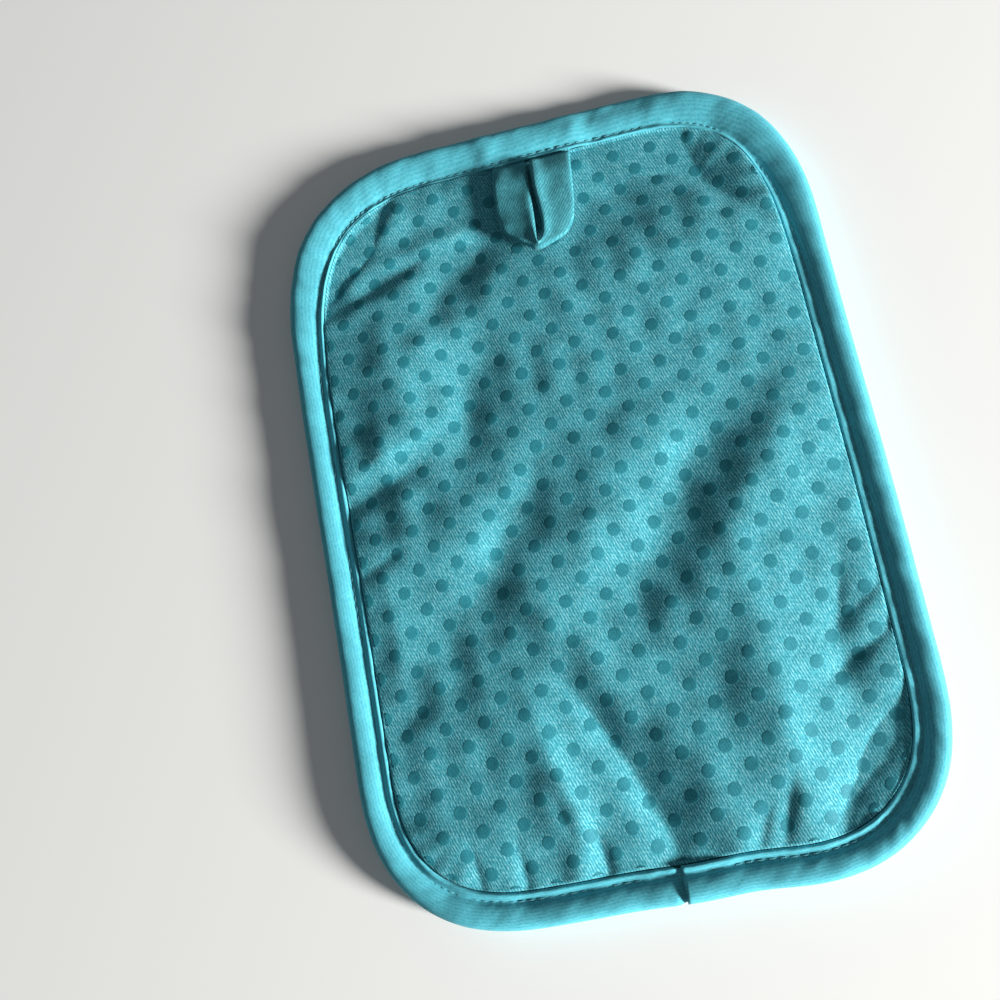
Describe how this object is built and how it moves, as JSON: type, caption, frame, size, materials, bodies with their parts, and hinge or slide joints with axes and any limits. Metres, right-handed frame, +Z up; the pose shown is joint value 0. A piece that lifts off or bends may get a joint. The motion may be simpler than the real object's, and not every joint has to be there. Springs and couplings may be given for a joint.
{
  "type": "pot holder",
  "caption": "Rectangular pot holder with rounded corners: padded front for grip dots, plain back, bias-bound edge with a lapped joint and a folded hanging loop, lying flat on its back.",
  "frame": {"origin": "on the surface it lies on, under the middle of the outline", "axes": "+Z up out of the dotted front, +Y towards the edge with the hanging loop, +X to the right seen from above"},
  "size_m": [0.177, 0.254, 0.0124],
  "materials": {
    "front_twill": "teal cotton twill, matt, with pale ribs",
    "back_twill": "teal cotton twill, matt, plain",
    "binding_twill": "teal cotton twill cut on the bias and folded, matt",
    "loop_twill": "teal cotton twill strip folded in four, matt",
    "grip_dots": "teal silicone printed in round dots, satin",
    "sewing_thread": "teal polyester lockstitch thread"
  },
  "bodies": {
    "root": {"front_panel": "front_twill", "back_panel": "back_twill", "binding": "binding_twill", "hanging_loop": "loop_twill"}
  },
  "joints": []
}
